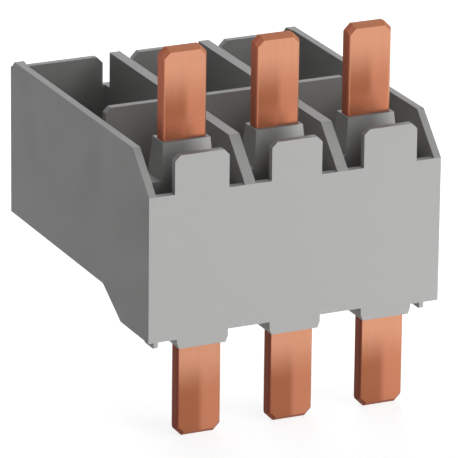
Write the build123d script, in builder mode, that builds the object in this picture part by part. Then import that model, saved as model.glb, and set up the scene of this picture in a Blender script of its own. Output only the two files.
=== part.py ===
"""Connecting link between a motor starter and a contactor.

A one-piece moulded housing carries three flat copper bars. Each bar leaves the
housing upwards through a tapered sleeve, jogs forward inside it and leaves it
downwards through a short sleeve behind the front plate.

Frame: X runs across the poles from the centre of the middle one, Y runs back
from the front plate's outer face, Z runs up from the front plate's lower edge.
All sizes are in millimetres.
"""
import os
from math import radians, tan

from build123d import *

# Poles
POLE_COUNT = 3
POLE_PITCH = 13.93
BAR_NAMES = ("link_bar_left", "link_bar_middle", "link_bar_right")

# Copper bar
BAR_WIDTH = 6.6
BAR_THICKNESS = 2.1
BAR_TOP = 39.3
BAR_BOTTOM = -14.7
UPPER_LEG_Y = 7.43
LOWER_LEG_Y = 2.01
JOG_START = 4.4
JOG_BEND_RADIUS = 2.6
BAR_EDGE_RADIUS = 0.45
BAR_CORNER_CHAMFER = 0.9
BAR_TOP_BEVEL = 0.5
BAR_FOOT_BEVEL = 0.55
BAR_CLEARANCE = 0.05

# Housing outline, seen from the side
HOUSING_WIDTH = 44.0
HOUSING_DEPTH = 48.3
WALL_TOP = 26.4
PLATE_TOP = 20.9
FLOOR_THICKNESS = 1.2
FRONT_FLOOR_DEPTH = 9.4
FLOOR_SLOPE_DEPTH = 6.1
REAR_FLOOR_LEVEL = 3.6
REAR_CORNER_CHAMFER = 1.4

# Walls
SIDE_WALL = 1.05
SIDE_PAD = 0.37
SIDE_PAD_LENGTH = 1.9
SIDE_PAD_RAMP = 1.5
PLATE_THICKNESS = 1.02
PARTITION_THICKNESS = 1.6
PARTITION_END_GAP = 2.45
MIDDLE_WALL_FRONT = 22.5
MIDDLE_WALL_THICKNESS = 1.1
MIDDLE_WALL_END_GAP = 2.4
MIDDLE_WALL_CHAMFER = 0.75
BACK_WALL_THICKNESS = 1.0
BACK_WALL_TOP = 25.4
BACK_WALL_CHAMFER = 0.9
NOTCH_BOTTOM = 21.15
NOTCH_GAP_LEFT = 0.4
NOTCH_GAP_RIGHT = 2.75

# Upper tabs and lower edge of the front plate
TAB_HALF_WIDTH = 3.78
OUTER_TAB_EXTRA = 0.5
TAB_CHAMFER = 0.8
PLATE_EDGE_RISE = 0.48

# Sleeves round the bars and the block that holds their jogs
SLEEVE_SIDE_WALL = 0.17
SLEEVE_FRONT_WALL = 0.65
SLEEVE_BACK_WALL = 0.72
SLEEVE_DRAFT = 5.0
LEDGE_TOP = 21.1
POCKET_FLOOR = 20.2
LOWER_SLEEVE_HALF_WIDTH = 3.82
LOWER_SLEEVE_BACK_WALL = 1.49
LOWER_SLEEVE_DROP = 1.38
LOWER_SLEEVE_TAPER_HEIGHT = 0.87
LOWER_SLEEVE_TAPER = 0.32

# Locating ribs under the floor
RIB_THICKNESS = 0.65
RIB_INSET = 1.43
RIB_FRONT = 1.5
RIB_LENGTH = 3.1
RIB_DROP = 1.5
RIB_RADIUS = 0.3

# Places worked out from the sizes above
half_width = HOUSING_WIDTH / 2
pole_x = [(i - (POLE_COUNT - 1) / 2) * POLE_PITCH for i in range(POLE_COUNT)]
partition_x = [(x + next_x) / 2 for x, next_x in zip(pole_x, pole_x[1:])]
wall_slope = WALL_TOP - PLATE_TOP
floor_slope_end = FRONT_FLOOR_DEPTH + FLOOR_SLOPE_DEPTH
partition_end = HOUSING_DEPTH - PARTITION_END_GAP
pad_full = HOUSING_DEPTH - SIDE_PAD_LENGTH
upper_leg_front = UPPER_LEG_Y - BAR_THICKNESS / 2 - BAR_CLEARANCE
upper_leg_back = UPPER_LEG_Y + BAR_THICKNESS / 2 + BAR_CLEARANCE
lower_leg_back = LOWER_LEG_Y + BAR_THICKNESS / 2 + BAR_CLEARANCE
jog_offset = UPPER_LEG_Y - LOWER_LEG_Y
sleeve_front = upper_leg_front - SLEEVE_FRONT_WALL
sleeve_back = upper_leg_back + SLEEVE_BACK_WALL
sleeve_spread = (WALL_TOP - LEDGE_TOP) * tan(radians(SLEEVE_DRAFT))

floor_line = [
    (0, 0),
    (FRONT_FLOOR_DEPTH, 0),
    (floor_slope_end, REAR_FLOOR_LEVEL),
    (HOUSING_DEPTH, REAR_FLOOR_LEVEL),
]


def bar_route(x):
    """The bar's centre line: two upright legs joined by a forward jog of 45 degrees."""
    with BuildLine(Plane.YZ.offset(x)) as route:
        FilletPolyline(
            (LOWER_LEG_Y, BAR_BOTTOM),
            (LOWER_LEG_Y, JOG_START),
            (UPPER_LEG_Y, JOG_START + jog_offset),
            (UPPER_LEG_Y, BAR_TOP),
            radius=JOG_BEND_RADIUS,
        )
    return route.line


# Housing
with BuildPart() as housing:
    # Side walls: the front top corner is sloped, the floor line steps up towards the back.
    for side in (-1, 1):
        with BuildSketch(Plane.YZ.offset(side * half_width)):
            with BuildLine():
                Polyline(
                    *floor_line,
                    (HOUSING_DEPTH, WALL_TOP - REAR_CORNER_CHAMFER),
                    (HOUSING_DEPTH - REAR_CORNER_CHAMFER, WALL_TOP),
                    (wall_slope, WALL_TOP),
                    (0, PLATE_TOP),
                    close=True,
                )
            make_face()
        extrude(amount=-side * (SIDE_WALL + SIDE_PAD))
        # Only the back corner keeps the full thickness, and a ramp leads to it.
        inner_face = side * (half_width - SIDE_WALL)
        pad_face = inner_face - side * SIDE_PAD
        with BuildSketch(Plane.XY):
            with BuildLine():
                Polyline(
                    (inner_face, 0),
                    (inner_face, pad_full - SIDE_PAD_RAMP),
                    (pad_face, pad_full),
                    (pad_face, 0),
                    close=True,
                )
            make_face()
        extrude(amount=WALL_TOP, mode=Mode.SUBTRACT)

    # Partitions: the same slope in front, and a free upper end short of the back wall.
    for x in partition_x:
        with BuildSketch(Plane.YZ.offset(x)):
            with BuildLine():
                Polyline(
                    *floor_line,
                    (HOUSING_DEPTH, NOTCH_BOTTOM),
                    (partition_end, NOTCH_BOTTOM),
                    (partition_end, WALL_TOP),
                    (wall_slope, WALL_TOP),
                    (0, PLATE_TOP),
                    close=True,
                )
            make_face()
        extrude(amount=PARTITION_THICKNESS / 2, both=True)

    # Floor
    with BuildSketch(Plane.YZ):
        with BuildLine():
            Polyline(*floor_line, *[(y, z + FLOOR_THICKNESS) for y, z in reversed(floor_line)], close=True)
        make_face()
    extrude(amount=half_width, both=True)

    # Front plate with one upper tab for each pole
    with BuildSketch(Plane.XZ) as plate:
        Rectangle(HOUSING_WIDTH, PLATE_TOP, align=(Align.CENTER, Align.MIN))
        for i, x in enumerate(pole_x):
            left = x - TAB_HALF_WIDTH - (OUTER_TAB_EXTRA if i == 0 else 0)
            right = x + TAB_HALF_WIDTH + (OUTER_TAB_EXTRA if i == POLE_COUNT - 1 else 0)
            with Locations((left, 0)):
                Rectangle(right - left, WALL_TOP, align=Align.MIN)
        chamfer(plate.vertices().group_by(Axis.Y)[-1], TAB_CHAMFER)
    extrude(amount=-PLATE_THICKNESS)

    # Middle wall across the poles, free of the side walls at both ends
    with BuildSketch(Plane.XZ.offset(-MIDDLE_WALL_FRONT)) as middle_wall:
        with Locations((0, REAR_FLOOR_LEVEL)):
            Rectangle(
                HOUSING_WIDTH - 2 * (SIDE_WALL + MIDDLE_WALL_END_GAP),
                WALL_TOP - REAR_FLOOR_LEVEL,
                align=(Align.CENTER, Align.MIN),
            )
        chamfer(middle_wall.vertices().group_by(Axis.Y)[-1], MIDDLE_WALL_CHAMFER)
    extrude(amount=-MIDDLE_WALL_THICKNESS)

    # Back wall, notched round the end of each partition
    with BuildSketch(Plane.XZ.offset(-HOUSING_DEPTH)) as back_wall:
        with Locations((0, REAR_FLOOR_LEVEL)):
            Rectangle(HOUSING_WIDTH, BACK_WALL_TOP - REAR_FLOOR_LEVEL, align=(Align.CENTER, Align.MIN))
        for x in partition_x:
            with Locations((x - PARTITION_THICKNESS / 2 - NOTCH_GAP_LEFT, NOTCH_BOTTOM)):
                Rectangle(
                    PARTITION_THICKNESS + NOTCH_GAP_LEFT + NOTCH_GAP_RIGHT,
                    BACK_WALL_TOP - NOTCH_BOTTOM,
                    align=Align.MIN,
                    mode=Mode.SUBTRACT,
                )
        notch_corners = back_wall.vertices().group_by(Axis.Y)[-1].sort_by(Axis.X)[1:-1]
        chamfer(notch_corners, BACK_WALL_CHAMFER)
    extrude(amount=BACK_WALL_THICKNESS)

    # Jog block on the floor: it ends in a ledge between the sleeves and a lower pocket floor in front of them.
    with BuildSketch(Plane.YZ):
        with BuildLine():
            Polyline(
                (0, FLOOR_THICKNESS),
                (sleeve_back + sleeve_spread, FLOOR_THICKNESS),
                (sleeve_back + sleeve_spread, LEDGE_TOP),
                (sleeve_front - sleeve_spread, LEDGE_TOP),
                (sleeve_front - sleeve_spread, POCKET_FLOOR),
                (0, POCKET_FLOOR),
                close=True,
            )
        make_face()
    extrude(amount=half_width, both=True)

    for x in pole_x:
        # Upper sleeve: a chimney that widens downwards to the ledge
        with BuildSketch(Plane.XY.offset(WALL_TOP)):
            with Locations((x, sleeve_front)):
                Rectangle(
                    BAR_WIDTH + 2 * (BAR_CLEARANCE + SLEEVE_SIDE_WALL),
                    sleeve_back - sleeve_front,
                    align=(Align.CENTER, Align.MIN),
                )
        extrude(amount=-(WALL_TOP - LEDGE_TOP), taper=-SLEEVE_DRAFT)

        # Lower sleeve: a short block whose sides taper at the end
        with BuildSketch(Plane.XZ):
            with BuildLine():
                Polyline(
                    (x - LOWER_SLEEVE_HALF_WIDTH, PLATE_EDGE_RISE),
                    (x - LOWER_SLEEVE_HALF_WIDTH, LOWER_SLEEVE_TAPER_HEIGHT - LOWER_SLEEVE_DROP),
                    (x - LOWER_SLEEVE_HALF_WIDTH + LOWER_SLEEVE_TAPER, -LOWER_SLEEVE_DROP),
                    (x + LOWER_SLEEVE_HALF_WIDTH - LOWER_SLEEVE_TAPER, -LOWER_SLEEVE_DROP),
                    (x + LOWER_SLEEVE_HALF_WIDTH, LOWER_SLEEVE_TAPER_HEIGHT - LOWER_SLEEVE_DROP),
                    (x + LOWER_SLEEVE_HALF_WIDTH, PLATE_EDGE_RISE),
                    close=True,
                )
            make_face()
        extrude(amount=-(lower_leg_back + LOWER_SLEEVE_BACK_WALL))

    # The plate's lower edge is a little higher between the poles.
    for x, next_x in zip(pole_x, pole_x[1:]):
        with BuildSketch(Plane.XZ):
            with Locations((x + LOWER_SLEEVE_HALF_WIDTH, 0)):
                Rectangle(next_x - x - 2 * LOWER_SLEEVE_HALF_WIDTH, PLATE_EDGE_RISE, align=Align.MIN)
        extrude(amount=-FRONT_FLOOR_DEPTH, mode=Mode.SUBTRACT)

    # Channel for each bar, with its clearance all round
    for x in pole_x:
        with BuildSketch(Plane.XY.offset(BAR_BOTTOM)):
            with Locations((x, LOWER_LEG_Y)):
                RectangleRounded(
                    BAR_WIDTH + 2 * BAR_CLEARANCE,
                    BAR_THICKNESS + 2 * BAR_CLEARANCE,
                    BAR_EDGE_RADIUS + BAR_CLEARANCE,
                )
        sweep(path=bar_route(x), mode=Mode.SUBTRACT)

    # Locating ribs under the floor, one near each side
    for side in (-1, 1):
        with BuildSketch(Plane.YZ.offset(side * (half_width - RIB_INSET))) as rib:
            with Locations((RIB_FRONT, -RIB_DROP)):
                Rectangle(RIB_LENGTH, RIB_DROP + FLOOR_THICKNESS, align=Align.MIN)
            fillet(rib.vertices().group_by(Axis.Y)[0], RIB_RADIUS)
        extrude(amount=-side * RIB_THICKNESS)

housing.part.label = "housing"

# Copper bars, the same for every pole
bars = []
for name, x in zip(BAR_NAMES, pole_x):
    with BuildPart() as bar:
        with BuildSketch(Plane.XY.offset(BAR_BOTTOM)):
            with Locations((x, LOWER_LEG_Y)):
                RectangleRounded(BAR_WIDTH, BAR_THICKNESS, BAR_EDGE_RADIUS)
        sweep(path=bar_route(x))
        # The front outline cuts off the corners at both ends.
        with BuildSketch(Plane.XZ) as outline:
            with Locations((x, (BAR_TOP + BAR_BOTTOM) / 2)):
                Rectangle(BAR_WIDTH, BAR_TOP - BAR_BOTTOM)
            chamfer(outline.vertices(), BAR_CORNER_CHAMFER)
        extrude(amount=-(UPPER_LEG_Y + BAR_THICKNESS), mode=Mode.INTERSECT)
        # Front and back are bevelled along the end and along both cut corners.
        for up, end_z, leg_y, bevel in (
            (1, BAR_TOP, UPPER_LEG_Y, BAR_TOP_BEVEL),
            (-1, BAR_BOTTOM, LOWER_LEG_Y, BAR_FOOT_BEVEL),
        ):
            for back in (-1, 1):
                for lean in (-1, 0, 1):
                    outward = Vector(lean, 0, up).normalized()
                    edge_point = Vector(
                        x + lean * (BAR_WIDTH / 2 - BAR_CORNER_CHAMFER),
                        leg_y + back * BAR_THICKNESS / 2,
                        end_z,
                    )
                    bevel_plane = Plane(
                        origin=edge_point - outward * bevel,
                        z_dir=outward + Vector(0, back, 0),
                    )
                    split(bisect_by=bevel_plane, keep=Keep.BOTTOM)
    bar.part.label = name
    bars.append(bar.part)

os.makedirs("parts", exist_ok=True)
for piece in (housing.part, *bars):
    export_step(piece, f"parts/{piece.label}.step")
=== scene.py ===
"""Finishes the motor starter connecting link: its grey moulded housing, its three copper bars and a plain studio."""

import math

import bmesh
import bpy
from mathutils import Matrix, Vector


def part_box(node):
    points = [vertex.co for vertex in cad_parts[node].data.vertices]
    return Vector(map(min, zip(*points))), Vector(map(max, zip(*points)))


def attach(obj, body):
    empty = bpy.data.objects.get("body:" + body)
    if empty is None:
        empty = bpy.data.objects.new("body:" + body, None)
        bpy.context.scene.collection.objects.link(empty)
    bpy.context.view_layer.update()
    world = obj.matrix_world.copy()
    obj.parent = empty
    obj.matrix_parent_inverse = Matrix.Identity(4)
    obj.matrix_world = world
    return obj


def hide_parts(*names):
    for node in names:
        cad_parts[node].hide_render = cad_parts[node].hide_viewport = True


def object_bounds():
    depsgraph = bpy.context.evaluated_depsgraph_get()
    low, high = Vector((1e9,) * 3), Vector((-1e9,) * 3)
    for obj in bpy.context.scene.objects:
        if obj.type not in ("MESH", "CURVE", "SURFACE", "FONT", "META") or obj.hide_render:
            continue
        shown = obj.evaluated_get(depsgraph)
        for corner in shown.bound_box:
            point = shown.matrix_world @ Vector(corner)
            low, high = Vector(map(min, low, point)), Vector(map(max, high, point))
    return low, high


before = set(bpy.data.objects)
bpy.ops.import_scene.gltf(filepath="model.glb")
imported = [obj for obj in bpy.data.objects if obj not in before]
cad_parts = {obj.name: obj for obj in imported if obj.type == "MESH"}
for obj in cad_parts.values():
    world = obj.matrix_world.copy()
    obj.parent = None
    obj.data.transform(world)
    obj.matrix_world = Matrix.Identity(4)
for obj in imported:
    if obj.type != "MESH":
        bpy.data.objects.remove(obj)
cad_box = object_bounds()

bl_info = {
    "name": "Connecting Link Finisher",
    "version": (1, 0, 0),
    "blender": (4, 5, 0),
    "location": "View3D > Sidebar > Connecting Link",
    "description": "Gives a motor starter connecting link its moulded plastic, its copper and a studio",
    "category": "Material",
}

MM = 0.001
WHITE = (1.0, 1.0, 1.0, 1.0)

# Places in the solid model. The bars are alike, and the middle one stands on the centre line.
BAR_NAMES = ("link_bar_left", "link_bar_middle", "link_bar_right")
BOX_LOW, BOX_HIGH = cad_box
OBJECT_CENTRE = (BOX_LOW + BOX_HIGH) / 2
BAR_LOW, BAR_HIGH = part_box("link_bar_middle")
BAR_WIDTH = BAR_HIGH.x - BAR_LOW.x
BAR_TOP = BAR_HIGH.z
POLE_PITCH = BAR_LOW.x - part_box("link_bar_left")[0].x
HOUSING_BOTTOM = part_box("housing")[0].z
SLEEVE_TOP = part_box("housing")[1].z

# How the housing's copy is merged and its pocket floors are found and shaded.
MERGE_DISTANCE = 0.001 * MM
LEVEL_TOLERANCE = 0.01 * MM
FACING_UP = 0.99
SHARP_ANGLE = math.radians(25)

# A rolling streak is this many times as long as it is wide.
STREAK_STRETCH = 50
SHEARED_ROUGHNESS = 0.55

SOFTBOX_DISTANCE = 0.9
SOFTBOX_SIZE = 0.5
SENSOR_WIDTH = 36
# The board's own colour and this glow add up to white for the camera.
BOARD_GLOW = (0.82, 0.82, 0.82, 1.0)


class HousingSettings(bpy.types.PropertyGroup):
    """Pockets and finish of the moulded housing."""

    plastic_colour: bpy.props.StringProperty(
        name="Plastic colour",
        description="sRGB hex value of the grey polyamide in plain light",
        default="B3B3B2",
    )
    ledge_level: bpy.props.FloatProperty(
        name="Ledge level",
        description="Height at which the solid model closes the pockets in front of the sleeves",
        default=20.2 * MM,
        unit="LENGTH",
        precision=5,
    )
    pocket_depth: bpy.props.FloatProperty(
        name="Pocket depth",
        description="How far the real pockets go on below that height, ending above the bars' bends",
        default=8 * MM,
        unit="LENGTH",
        precision=5,
    )
    grain_size: bpy.props.FloatProperty(
        name="Grain size",
        description="Width of one grain of the spark-eroded mould texture",
        default=0.22 * MM,
        unit="LENGTH",
        precision=5,
    )
    grain_depth: bpy.props.FloatProperty(
        name="Grain depth",
        description="Height of the mould texture's grains",
        default=0.012 * MM,
        unit="LENGTH",
        precision=6,
    )


class BarSettings(bpy.types.PropertyGroup):
    """Finish of the copper bars, with its painted light and shade."""

    copper_colour: bpy.props.StringProperty(
        name="Copper colour",
        description="sRGB hex value of the bare rolled face",
        default="D49576",
    )
    # Painted shade: the face is painted darker low on each leg, darkest on its left half. The deep colour also tints
    # the streaks' grooves.
    painted_shade_warm_colour: bpy.props.StringProperty(
        name="Warm painted shade colour",
        description="sRGB hex value of the face's right half, low on each leg",
        default="C27C5E",
    )
    shade_and_stain_colour: bpy.props.StringProperty(
        name="Painted shade and stain colour",
        description="sRGB hex value of the face's left half, low on each leg",
        default="A16144",
    )
    # Painted shade: the bevelled ends are painted darker than the face, the lower ends darkest.
    painted_shade_end_colour: bpy.props.StringProperty(
        name="Upper end painted shade colour",
        description="sRGB hex value of the bevelled upper end",
        default="B87757",
    )
    painted_shade_foot_end_colour: bpy.props.StringProperty(
        name="Lower end painted shade colour",
        description="sRGB hex value of the bevelled lower end",
        default="955B45",
    )
    # Painted shade: the sides are painted dark, those below the housing darkest; the same mask makes them rougher.
    painted_shade_side_colour: bpy.props.StringProperty(
        name="Upper side painted shade colour",
        description="sRGB hex value of the sides above the housing, painted dark as shade",
        default="AB644C",
    )
    painted_shade_foot_side_colour: bpy.props.StringProperty(
        name="Lower side painted shade colour",
        description="sRGB hex value of the sides below the housing, painted dark as shade",
        default="743E31",
    )
    # Painted light: the bar is lighter just above each sleeve, against the shadow cast there.
    painted_light_colour: bpy.props.StringProperty(
        name="Painted light colour",
        description="sRGB hex value of the painted light just above each sleeve",
        default="E58D68",
    )
    streak_width: bpy.props.FloatProperty(
        name="Streak width",
        description="Width of one rolling streak along the bar",
        default=0.25 * MM,
        unit="LENGTH",
        precision=5,
    )
    streak_depth: bpy.props.FloatProperty(
        name="Streak depth",
        description="Depth of the grooves between the rolling streaks",
        default=0.01 * MM,
        unit="LENGTH",
        precision=6,
    )


class StageSettings(bpy.types.PropertyGroup):
    """Floor, light and camera."""

    floor_colour: bpy.props.StringProperty(
        name="Floor colour",
        description="sRGB hex value of the pale floor in plain light",
        default="CFCFCF",
    )
    floor_size: bpy.props.FloatProperty(
        name="Floor size",
        description="Length of one side of the floor",
        default=4.0,
        unit="LENGTH",
    )
    sky_level: bpy.props.FloatProperty(
        name="Sky level",
        description="Strength of the soft light from every side",
        default=0.04,
        subtype="FACTOR",
    )
    front_level: bpy.props.FloatProperty(
        name="Front softbox level",
        description="Share of full light that the softbox at eye level gives a surface facing it",
        default=0.13,
        subtype="FACTOR",
    )
    high_level: bpy.props.FloatProperty(
        name="High softbox level",
        description="Share of full light that the softbox high in front gives a surface facing it",
        default=0.2,
        subtype="FACTOR",
    )
    top_level: bpy.props.FloatProperty(
        name="Top softbox level",
        description="Share of full light that the softbox overhead gives a surface facing it",
        default=0.05,
        subtype="FACTOR",
    )
    low_right_level: bpy.props.FloatProperty(
        name="Low right softbox level",
        description="Share of full light that the softbox low in front gives a surface facing it",
        default=0.77,
        subtype="FACTOR",
    )
    low_left_level: bpy.props.FloatProperty(
        name="Low left softbox level",
        description="Share of full light that the softbox low on the left gives a surface facing it",
        default=0.045,
        subtype="FACTOR",
    )
    back_level: bpy.props.FloatProperty(
        name="Back softbox level",
        description="Share of full light that the softbox behind the object gives a surface facing it",
        default=0.9,
        subtype="FACTOR",
    )
    camera_place: bpy.props.FloatVectorProperty(
        name="Camera place",
        description="Where the camera stands, measured from the front plate's lower edge",
        default=(-0.293469, -0.604560, 0.250513),
        size=3,
        subtype="XYZ",
        unit="LENGTH",
    )
    camera_azimuth: bpy.props.FloatProperty(
        name="Camera azimuth",
        description="Turn of the view round the object, zero straight at the front plate",
        default=math.radians(-25.111),
        subtype="ANGLE",
    )
    camera_elevation: bpy.props.FloatProperty(
        name="Camera elevation",
        description="How far the view looks down",
        default=math.radians(19.437),
        subtype="ANGLE",
    )
    camera_roll: bpy.props.FloatProperty(
        name="Camera roll",
        description="Turn of the picture about the line of sight",
        default=math.radians(0.6439),
        subtype="ANGLE",
    )
    lens: bpy.props.FloatProperty(
        name="Lens",
        description="Focal length on a sensor 36 mm wide",
        default=410.4,
        subtype="DISTANCE_CAMERA",
    )


def linear(hex_colour):
    """The sRGB hex colour as a linear RGBA value."""
    channels = [int(hex_colour[i:i + 2], 16) / 255 for i in (0, 2, 4)]
    return tuple(c / 12.92 if c <= 0.04045 else ((c + 0.055) / 1.055) ** 2.4 for c in channels) + (1.0,)


def node(tree, kind, inputs=(), **settings):
    """Adds a node. Inputs are (source, socket) pairs, where the source is another node, one of its outputs or a plain
    value. A setting that isn't one of the node's own goes to the socket of that name."""
    made = tree.nodes.new(kind)
    for name, value in settings.items():
        if hasattr(made, name):
            setattr(made, name, value)
        else:
            made.inputs[name.replace("_", " ")].default_value = value
    for source, socket in inputs:
        if isinstance(source, bpy.types.Node):
            source = next(output for output in source.outputs if output.enabled)
        if isinstance(source, bpy.types.NodeSocket):
            tree.links.new(source, made.inputs[socket])
        else:
            made.inputs[socket].default_value = source
    return made


def fresh_material(name):
    material = bpy.data.materials.new(name)
    material.use_nodes = True
    material.node_tree.nodes.clear()
    return material


def moulded_polyamide(settings):
    """Grey glass-filled polyamide from a spark-eroded mould: matt, with a fine even grain and a slight cloudiness."""
    material = fresh_material("Moulded grey polyamide")
    tree = material.node_tree
    place = node(tree, "ShaderNodeTexCoord").outputs["Object"]
    cloud = node(tree, "ShaderNodeTexNoise", [(place, "Vector")], Scale=1 / (6 * MM), Detail=3.0)
    grain = node(tree, "ShaderNodeTexNoise", [(place, "Vector")], Scale=1 / settings.grain_size, Detail=2.0)
    base = linear(settings.plastic_colour)
    # Where the glass fibres lie nearer the surface it is both paler and duller.
    thin, thick = 0.3, 0.7
    tint = node(tree, "ShaderNodeValToRGB", [(cloud, "Fac")])
    for stop, position, brightness in zip(tint.color_ramp.elements, (thin, thick), (0.99, 1.01)):
        stop.position = position
        stop.color = tuple(brightness * channel for channel in base[:3]) + (1,)
    rough = node(
        tree, "ShaderNodeMapRange", [(cloud, "Value")], From_Min=thin, From_Max=thick, To_Min=0.57, To_Max=0.67
    )
    bump = node(tree, "ShaderNodeBump", [(grain, "Height")], Strength=0.6, Distance=settings.grain_depth)
    shader = node(
        tree, "ShaderNodeBsdfPrincipled", [(tint, "Base Color"), (rough, "Roughness"), (bump, "Normal")],
        IOR=1.53, Metallic=0.0,
    )
    node(tree, "ShaderNodeOutputMaterial", [(shader, "Surface")])
    return material


def rolled_copper(settings):
    """Bare rolled copper bar: soft sheen and fine streaks along it. Painted shade darkens the face low on each leg
    and on its left half, the ends, and the sides most; a painted highlight runs along the long edges, and painted
    light brightens the bar just above each sleeve."""
    material = fresh_material("Rolled copper bar")
    tree = material.node_tree
    spot = node(tree, "ShaderNodeTexCoord").outputs
    place = node(tree, "ShaderNodeSeparateXYZ", [(spot["Object"], "Vector")]).outputs
    facing = node(tree, "ShaderNodeSeparateXYZ", [(spot["Normal"], "Vector")]).outputs
    streaks_per_metre = 1 / settings.streak_width
    stretched = node(
        tree, "ShaderNodeMapping", [(spot["Object"], "Vector")],
        Scale=(streaks_per_metre, streaks_per_metre, streaks_per_metre / STREAK_STRETCH),
    )
    shares = {
        "across bar": node(
            tree, "ShaderNodeMath", [(place["X"], 0), (POLE_PITCH / 2, 1), (-POLE_PITCH / 2, 2)], operation="WRAP"
        ),
        "endways": node(tree, "ShaderNodeMath", [(facing["Z"], 0)], operation="ABSOLUTE"),
        "streaks": node(tree, "ShaderNodeTexNoise", [(stretched, "Vector")], Scale=1.0, Detail=3.0),
        "along bar": place["Z"],
        "sideways": facing["X"],
    }
    # Each share runs smoothly from its first to its last value while its source runs from start to end. The long
    # edges are painted brighter as a highlight, the right one more. The sides are painted dark as shade, the left
    # one right up to its edge, the right one only in its middle. The streaks' grooves are a little browner and
    # rougher than crests.
    for name, source, start, end, first, last in (
        ("left half", "across bar", -0.06 * BAR_WIDTH, 0.12 * BAR_WIDTH, 1.0, 0.0),
        ("above housing", "along bar", 0.0, 0.1 * MM, 0.0, 1.0),
        # Painted shade: the face darkens low on each leg.
        ("low on upper leg", "along bar", BAR_TOP - 8.8 * MM, BAR_TOP - 2.2 * MM, 1.0, 0.0),
        ("low on lower leg", "along bar", HOUSING_BOTTOM - 7.6 * MM, HOUSING_BOTTOM - 1.1 * MM, 1.0, 0.0),
        # Painted light just above each sleeve.
        ("near sleeve", "along bar", SLEEVE_TOP, SLEEVE_TOP + 4 * MM, 1.0, 0.0),
        ("painted light by side", "left half", 0.0, 1.0, 0.35, 1.0),
        ("end face", "endways", 0.35, 0.6, 0.0, 1.0),
        # Painted highlight along the long edges above the housing, the right one brighter.
        ("right edge", "sideways", 0.05, 0.2, 0.0, 0.95),
        ("left edge", "sideways", -0.25, -0.08, 0.6, 0.0),
        # Painted shade on the sides, the left one up to its edge.
        ("left side shade", "sideways", -0.55, -0.35, 1.0, 0.0),
        ("right side shade", "sideways", 0.92, 0.99, 0.0, 1.0),
        ("stain", "streaks", 0.35, 0.65, 0.05, 0.0),
        ("rolled roughness", "streaks", 0.35, 0.65, 0.38, 0.3),
    ):
        shares[name] = node(
            tree, "ShaderNodeMapRange", [(shares[source], "Value")], interpolation_type="SMOOTHSTEP",
            From_Min=start, From_Max=end, To_Min=first, To_Max=last,
        )
    for name, operation, first, second in (
        ("painted shade on upper leg", "MULTIPLY", "low on upper leg", "above housing"),
        ("painted shade low", "MAXIMUM", "painted shade on upper leg", "low on lower leg"),
        ("sleeve mouth", "MULTIPLY", "near sleeve", "above housing"),
        ("painted light", "MULTIPLY", "sleeve mouth", "painted light by side"),
        ("either edge", "MAXIMUM", "right edge", "left edge"),
        ("edge highlight", "MULTIPLY", "either edge", "above housing"),
        ("sheared and shaded sides", "MAXIMUM", "left side shade", "right side shade"),
    ):
        shares[name] = node(tree, "ShaderNodeMath", [(shares[first], 0), (shares[second], 1)], operation=operation)
    colours = {
        "copper": linear(settings.copper_colour),
        "warm shade": linear(settings.painted_shade_warm_colour),
        "shade and stain": linear(settings.shade_and_stain_colour),
        "end shade": linear(settings.painted_shade_end_colour),
        "foot end shade": linear(settings.painted_shade_foot_end_colour),
        "upper side shade": linear(settings.painted_shade_side_colour),
        "lower side shade": linear(settings.painted_shade_foot_side_colour),
        "bright": linear(settings.painted_light_colour),
    }
    # Just above each sleeve the bar is painted lighter, most on the left, as painted light against the shadow that
    # the tabs and sleeves cast there.
    for name, share, under, over in (
        ("face shade by side", "left half", "warm shade", "shade and stain"),
        ("face", "painted shade low", "copper", "face shade by side"),
        ("face with edge highlight", "edge highlight", "face", "copper"),
        # Painted shade: the ends are darker, the lower ones most.
        ("end", "painted shade low", "end shade", "foot end shade"),
        ("outside", "end face", "face with edge highlight", "end"),
        ("bar with painted light", "painted light", "outside", "bright"),
        ("side shade", "above housing", "lower side shade", "upper side shade"),
        ("bar", "sheared and shaded sides", "bar with painted light", "side shade"),
        ("streaked bar", "stain", "bar", "shade and stain"),
    ):
        colours[name] = node(
            tree, "ShaderNodeMix", [(shares[share], "Factor"), (colours[under], "A"), (colours[over], "B")],
            data_type="RGBA",
        )
    side_roughness = node(
        tree, "ShaderNodeMath", [(shares["sheared and shaded sides"], 0), (SHEARED_ROUGHNESS, 1)], operation="MULTIPLY"
    )
    rough = node(
        tree, "ShaderNodeMath", [(shares["rolled roughness"], 0), (side_roughness, 1)], operation="MAXIMUM"
    )
    bump = node(
        tree, "ShaderNodeBump", [(shares["streaks"], "Height")], Strength=0.35, Distance=settings.streak_depth
    )
    # The metal is a little dull all over, and its tint keeps the sides copper where they mirror the white room.
    shader = node(
        tree, "ShaderNodeBsdfPrincipled",
        [(colours["streaked bar"], "Base Color"), (rough, "Roughness"), (bump, "Normal")],
        Metallic=0.7, Specular_Tint=linear("D0B4A8"),
    )
    node(tree, "ShaderNodeOutputMaterial", [(shader, "Surface")])
    return material


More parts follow.
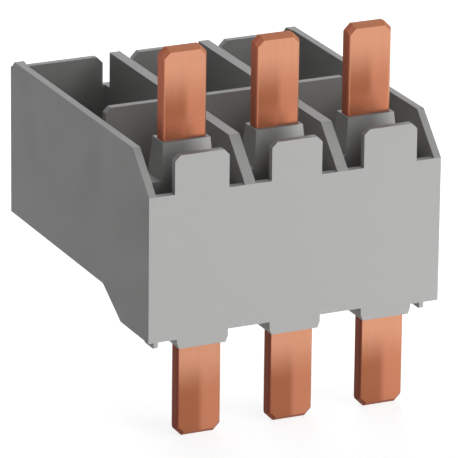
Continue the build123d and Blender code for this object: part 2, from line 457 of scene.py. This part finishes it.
class LINK_OT_housing(bpy.types.Operator):
    """Sinks the housing's front pockets to their full depth and gives the housing its plastic"""

    bl_idname = "link.housing"
    bl_label = "Build Housing"

    def execute(self, context):
        settings = context.scene.link_housing
        form = bmesh.new()
        form.from_mesh(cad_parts["housing"].data)
        bmesh.ops.remove_doubles(form, verts=form.verts, dist=MERGE_DISTANCE)
        pocket_floors = [
            face for face in form.faces
            if face.normal.z > FACING_UP
            and all(abs(corner.co.z - settings.ledge_level) < LEVEL_TOLERANCE for corner in face.verts)
        ]
        if not pocket_floors:
            raise RuntimeError("The housing has no pocket floor at that level")
        sunk = bmesh.ops.extrude_face_region(form, geom=pocket_floors)["geom"]
        bmesh.ops.translate(
            form, vec=(0, 0, -settings.pocket_depth),
            verts=[made for made in sunk if isinstance(made, bmesh.types.BMVert)],
        )
        # The extrusion leaves the old floors in place as lids.
        bmesh.ops.delete(form, geom=pocket_floors, context="FACES")
        for face in form.faces:
            face.smooth = True
        mesh = bpy.data.meshes.new("housing_moulding")
        form.to_mesh(mesh)
        form.free()
        # The loader's normals belong to the shallow pockets.
        mesh.attributes.remove(mesh.attributes["custom_normal"])
        mesh.set_sharp_from_angle(angle=SHARP_ANGLE)
        mesh.materials.clear()
        mesh.materials.append(moulded_polyamide(settings))
        moulding = bpy.data.objects.new("housing_moulding", mesh)
        context.scene.collection.objects.link(moulding)
        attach(moulding, "root")
        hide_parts("housing")
        return {"FINISHED"}


class LINK_OT_bars(bpy.types.Operator):
    """Gives the three bars their rolled copper, with painted light and shade"""

    bl_idname = "link.bars"
    bl_label = "Finish Copper Bars"

    def execute(self, context):
        copper = rolled_copper(context.scene.link_bars)
        for name in BAR_NAMES:
            for material_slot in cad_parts[name].material_slots:
                material_slot.material = copper
        return {"FINISHED"}


def seen_by_eye_or_metal(tree):
    """One for what the camera sees straight, in metal or through glass, and zero for the light on matt surfaces, also
    for the light that the metal throws on them."""
    path = node(tree, "ShaderNodeLightPath").outputs
    before_matt = node(tree, "ShaderNodeMath", [(path["Diffuse Depth"], 0), (0.5, 1)], operation="LESS_THAN")
    seen = node(
        tree, "ShaderNodeMath", [(path["Is Camera Ray"], 0), (path["Is Glossy Ray"], 1)], operation="MAXIMUM"
    )
    seen_or_through = node(
        tree, "ShaderNodeMath", [(seen, 0), (path["Is Transmission Ray"], 1)], operation="MAXIMUM"
    )
    return node(tree, "ShaderNodeMath", [(seen_or_through, 0), (before_matt, 1)], operation="MULTIPLY")


def floor_finish(settings):
    """Pale matt board. What the camera and the metal see of it is raised to white, and the shadow stays."""
    material = fresh_material("Pale matt board")
    tree = material.node_tree
    board = node(tree, "ShaderNodeBsdfDiffuse", Color=linear(settings.floor_colour))
    glow = node(tree, "ShaderNodeEmission", [(seen_by_eye_or_metal(tree), "Strength")], Color=BOARD_GLOW)
    both = node(tree, "ShaderNodeAddShader", [(board, 0), (glow, 1)])
    node(tree, "ShaderNodeOutputMaterial", [(both, "Surface")])
    return material


def studio_world(settings):
    """Weak soft light from every side, and plain white to the camera and in the metal."""
    world = bpy.data.worlds.new("Studio")
    world.use_nodes = True
    tree = world.node_tree
    tree.nodes.clear()
    soft = node(tree, "ShaderNodeBackground", Strength=settings.sky_level, Color=WHITE)
    bright = node(tree, "ShaderNodeBackground", Strength=1.0, Color=WHITE)
    mix = node(tree, "ShaderNodeMixShader", [(seen_by_eye_or_metal(tree), "Fac"), (soft, 1), (bright, 2)])
    node(tree, "ShaderNodeOutputWorld", [(mix, "Surface")])
    return world


def softbox(name, direction, level, mirrored):
    """A square lamp that looks at the object. Level 1 lights a facing surface so that its colour renders as written.
    Only a mirrored one shows in the metal; the metal takes its white from the floor and the world."""
    lamp = bpy.data.lights.new(name, "AREA")
    lamp.shape = "SQUARE"
    lamp.size = SOFTBOX_SIZE
    lamp.energy = level * (math.pi * SOFTBOX_DISTANCE) ** 2
    made = bpy.data.objects.new(name, lamp)
    away = Vector(direction).normalized()
    made.location = OBJECT_CENTRE + away * SOFTBOX_DISTANCE
    made.rotation_mode = "QUATERNION"
    made.rotation_quaternion = away.to_track_quat("Z", "Y")
    made.visible_glossy = mirrored
    bpy.context.scene.collection.objects.link(made)


class LINK_OT_stage(bpy.types.Operator):
    """Lays the floor and sets the light and the camera"""

    bl_idname = "link.stage"
    bl_label = "Set Stage"

    def execute(self, context):
        settings = context.scene.link_stage
        form = bmesh.new()
        bmesh.ops.create_grid(
            form, x_segments=1, y_segments=1, size=settings.floor_size / 2,
            matrix=Matrix.Translation((0, 0, BOX_LOW.z)),
        )
        mesh = bpy.data.meshes.new("Floor")
        form.to_mesh(mesh)
        form.free()
        mesh.materials.append(floor_finish(settings))
        floor = bpy.data.objects.new("Floor", mesh)
        context.scene.collection.objects.link(floor)
        # The floor works as a light table: the low softboxes stand below it and shine through.
        floor.visible_shadow = False
        context.scene.world = studio_world(settings)
        for name, direction, level, mirrored in (
            ("Front softbox", (-0.05, -1.0, 0.12), settings.front_level, True),
            ("High softbox", (0.7, -1.0, 0.7), settings.high_level, False),
            ("Top softbox", (0.0, 0.1, 1.0), settings.top_level, False),
            ("Low right softbox", (0.5, -1.0, -0.36), settings.low_right_level, False),
            ("Low left softbox", (-1.0, 0.1, -0.36), settings.low_left_level, False),
            ("Back softbox", (0.25, 1.0, 0.5), settings.back_level, False),
        ):
            softbox(name, direction, level, mirrored)
        azimuth, elevation, roll = settings.camera_azimuth, settings.camera_elevation, settings.camera_roll
        back = Vector((
            math.sin(azimuth) * math.cos(elevation),
            -math.cos(azimuth) * math.cos(elevation),
            math.sin(elevation),
        ))
        level_right = Vector((math.cos(azimuth), math.sin(azimuth), 0))
        level_up = back.cross(level_right)
        right = math.cos(roll) * level_right + math.sin(roll) * level_up
        up = math.cos(roll) * level_up - math.sin(roll) * level_right
        camera = bpy.data.objects.new("Camera", bpy.data.cameras.new("Camera"))
        turn = Matrix((right, up, back)).transposed().to_4x4()
        camera.matrix_world = Matrix.Translation(settings.camera_place) @ turn
        camera.data.lens = settings.lens
        camera.data.sensor_width = SENSOR_WIDTH
        camera.data.clip_start = 10 * MM
        context.scene.collection.objects.link(camera)
        context.scene.camera = camera
        context.scene.view_settings.view_transform = "Standard"
        return {"FINISHED"}


class LINK_PT_panel(bpy.types.Panel):
    """Lists the finishing steps and their settings"""

    bl_label = "Connecting Link"
    bl_idname = "LINK_PT_panel"
    bl_space_type = "VIEW_3D"
    bl_region_type = "UI"
    bl_category = "Connecting Link"

    def draw(self, context):
        for operator, settings in (
            (LINK_OT_housing, context.scene.link_housing),
            (LINK_OT_bars, context.scene.link_bars),
            (LINK_OT_stage, context.scene.link_stage),
        ):
            box = self.layout.box()
            box.operator(operator.bl_idname)
            for name in settings.__annotations__:
                box.prop(settings, name)


GROUPS = {"link_housing": HousingSettings, "link_bars": BarSettings, "link_stage": StageSettings}
CLASSES = (*GROUPS.values(), LINK_OT_housing, LINK_OT_bars, LINK_OT_stage, LINK_PT_panel)


def register():
    for made in CLASSES:
        bpy.utils.register_class(made)
    for name, group in GROUPS.items():
        setattr(bpy.types.Scene, name, bpy.props.PointerProperty(type=group))


def unregister():
    for name in GROUPS:
        delattr(bpy.types.Scene, name)
    for made in reversed(CLASSES):
        bpy.utils.unregister_class(made)


def main():
    register()
    bpy.ops.link.stage()
    bpy.ops.link.housing()
    bpy.ops.link.bars()


if __name__ == "__main__":
    main()
